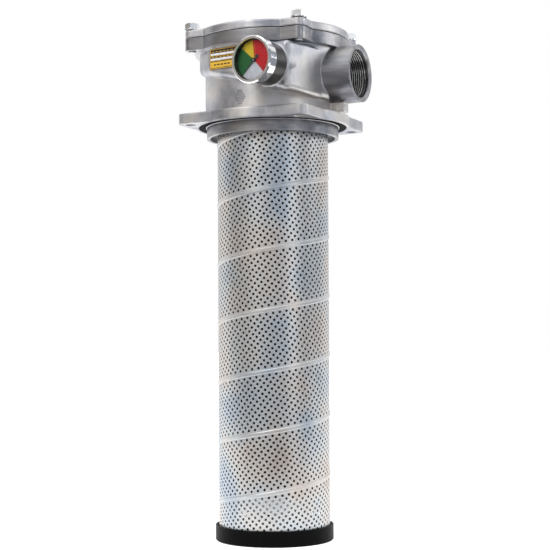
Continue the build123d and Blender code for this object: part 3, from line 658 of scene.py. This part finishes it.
def camera():
    """The photo's view: from about the height of the sleeve's middle, looking a little up."""
    data = bpy.data.cameras.new("camera")
    eye = bpy.data.objects.new("camera", data)
    bpy.context.scene.collection.objects.link(eye)
    azimuth = math.radians(CAMERA_AZIMUTH)
    back = Vector((math.sin(azimuth), -math.cos(azimuth), 0))
    eye.location = back * CAMERA_DISTANCE + Vector((0, 0, CAMERA_Z))
    look = -back + Vector((0, 0, math.tan(math.radians(CAMERA_PITCH))))
    turn = look.to_track_quat("-Z", "Y").to_matrix().to_4x4()
    roll = Matrix.Rotation(math.radians(CAMERA_ROLL), 4, "Z")
    yaw = Matrix.Rotation(math.radians(CAMERA_YAW), 4, "Z")
    eye.matrix_world = Matrix.Translation(eye.location) @ yaw @ turn @ roll
    data.lens = CAMERA_LENS
    data.sensor_width = 36.0
    data.shift_y = CAMERA_SHIFT
    data.clip_end = 50.0
    bpy.context.scene.camera = eye


def seen_white(tree, shader_white, shader_light):
    """White for rays that the eye, gloss or glass sends, and the light's own level for the rest."""
    nodes, links = tree.nodes, tree.links
    path = nodes.new("ShaderNodeLightPath")
    first = nodes.new("ShaderNodeMath")
    first.operation = "MAXIMUM"
    second = nodes.new("ShaderNodeMath")
    second.operation = "MAXIMUM"
    links.new(path.outputs["Is Camera Ray"], first.inputs[0])
    links.new(path.outputs["Is Glossy Ray"], first.inputs[1])
    links.new(first.outputs[0], second.inputs[0])
    links.new(path.outputs["Is Transmission Ray"], second.inputs[1])
    mix = nodes.new("ShaderNodeMixShader")
    links.new(second.outputs[0], mix.inputs[0])
    links.new(shader_light, mix.inputs[1])
    links.new(shader_white, mix.inputs[2])
    return mix.outputs[0]


def world():
    """White to the eye, in gloss and through glass, and a softer light for the rest."""
    studio = bpy.data.worlds.new("studio")
    bpy.context.scene.world = studio
    studio.use_nodes = True
    tree = studio.node_tree
    tree.nodes.clear()
    white = tree.nodes.new("ShaderNodeBackground")
    white.inputs["Strength"].default_value = 1.0
    white.inputs["Color"].default_value = (1, 1, 1, 1)
    soft = tree.nodes.new("ShaderNodeBackground")
    soft.inputs["Color"].default_value = (0.95, 0.97, 1.0, 1)
    soft.inputs["Strength"].default_value = 0.7
    out = tree.nodes.new("ShaderNodeOutputWorld")
    tree.links.new(seen_white(tree, white.outputs[0], soft.outputs[0]), out.inputs["Surface"])


def floor():
    """A wide white floor at the base cap's foot, which glows for the eye, gloss and glass."""
    bm = bmesh.new()
    half = 12.0
    z = CAP_LOW[2]
    bm.faces.new([bm.verts.new((x * half, y * half, z)) for x, y in ((-1, -1), (1, -1), (1, 1), (-1, 1))])
    mesh = bpy.data.meshes.new("floor")
    bm.to_mesh(mesh)
    bm.free()
    ground = bpy.data.objects.new("floor", mesh)
    bpy.context.scene.collection.objects.link(ground)
    n = Nodes("floor_white")
    n.set(Roughness=0.9, Specular_IOR_Level=0.0, Base_Color=(0.9, 0.9, 0.9, 1))
    glow = n.add("ShaderNodeEmission", Strength=0.7)
    both = n.add("ShaderNodeAddShader")
    n.join(n.shader.outputs[0], both.inputs[0])
    n.join(glow.outputs[0], both.inputs[1])
    out = n.tree.nodes["Material Output"]
    n.join(seen_white(n.tree, both.outputs[0], n.shader.outputs[0]), out.inputs["Surface"])
    mesh.materials.append(n.material)


CARD_LIFT = 1.0 * MM


def card(name, centre, facing, width, height, shade):
    """A matt studio card for reflections: the eye, shadows and diffuse light pass it by."""
    bm = bmesh.new()
    for x, y in ((-1, -1), (1, -1), (1, 1), (-1, 1)):
        bm.verts.new((x * width / 2, y * height / 2, 0))
    bm.faces.new(bm.verts)
    mesh = bpy.data.meshes.new(name)
    bm.to_mesh(mesh)
    bm.free()
    sheet = bpy.data.objects.new(name, mesh)
    sheet.location = centre
    direction = Vector(facing) - Vector(centre)
    sheet.rotation_mode = "QUATERNION"
    sheet.rotation_quaternion = direction.to_track_quat("Z", "Y")
    sheet.visible_camera = False
    sheet.visible_shadow = False
    sheet.visible_diffuse = False
    bpy.context.scene.collection.objects.link(sheet)
    n = Nodes(name)
    n.set(Roughness=1.0, Base_Color=(*shade, 1))
    mesh.materials.append(n.material)


def area(name, centre, target, width, height, watts):
    """A rectangular studio lamp that faces a target."""
    lamp = bpy.data.lights.new(name, "AREA")
    lamp.shape = "RECTANGLE"
    lamp.size, lamp.size_y = width, height
    lamp.energy = watts
    holder = bpy.data.objects.new(name, lamp)
    holder.location = centre
    holder.rotation_mode = "QUATERNION"
    holder.rotation_quaternion = (Vector(target) - Vector(centre)).to_track_quat("-Z", "Y")
    bpy.context.scene.collection.objects.link(holder)


def from_camera(right, back, up):
    """A place in the studio, measured from the filter's axis as the camera faces it."""
    azimuth = math.radians(CAMERA_AZIMUTH)
    to_eye = Vector((math.sin(azimuth), -math.cos(azimuth), 0))
    across = Vector((math.cos(azimuth), math.sin(azimuth), 0))
    return across * right + to_eye * back + Vector((0, 0, up))


def lights():
    """Lamps and cards that face the filter's middle or its head, and a low card that faces up."""
    middle = (0, 0, -0.15)
    head = (0, 0, 0.05)
    area("key", from_camera(-1.2, 1.3, 1.3), middle, 0.9, 1.2, 22)
    area("side", from_camera(1.6, -0.1, 0.62), head, 0.8, 0.6, 4.5)
    area("fill", from_camera(0.95, 1.3, 0.1), middle, 0.3, 1.8, 2.0)
    area("brow", from_camera(-0.15, 1.9, 0.5), head, 1.0, 0.3, 0.7)
    area("top", from_camera(0, 0.2, 1.8), middle, 1.4, 1.0, 6)
    card("card_left", from_camera(-1.5, 0.5, 0.1), middle, 2.0, 3.0, (0.44, 0.40, 0.36))
    card("card_right", from_camera(1.9, 0.2, 0.0), middle, 2.4, 3.0, (0.36, 0.38, 0.42))
    card("card_front_left", from_camera(-0.75, 2.5, 0.3), middle, 1.5, 3.2, (0.40, 0.365, 0.33))
    card("card_front_right", from_camera(0.85, 2.5, 0.3), middle, 1.7, 3.2, (0.36, 0.40, 0.46))
    # It leans under a degree towards the camera, so that its edges run square to the camera.
    # Its far edge is some 14 mm off the floor, and its near half dips under the floor.
    low = from_camera(0.0, 1.18, CAP_LOW[2] + CARD_LIFT)
    card("card_low", low, from_camera(0, 1.2, 1), 3.0, 1.9, (0.16, 0.16, 0.17))


# ---------------------------------------------------------------- build

for node, material in NODE_MATERIALS.items():
    dress(node, material)
dress_shaded_turned_faces()
sleeve()
port_thread()
dial_print()
label_print()
cast_dots()
bypass_coil()
bpy.context.scene.view_settings.view_transform = "Standard"
camera()
world()
floor()
lights()
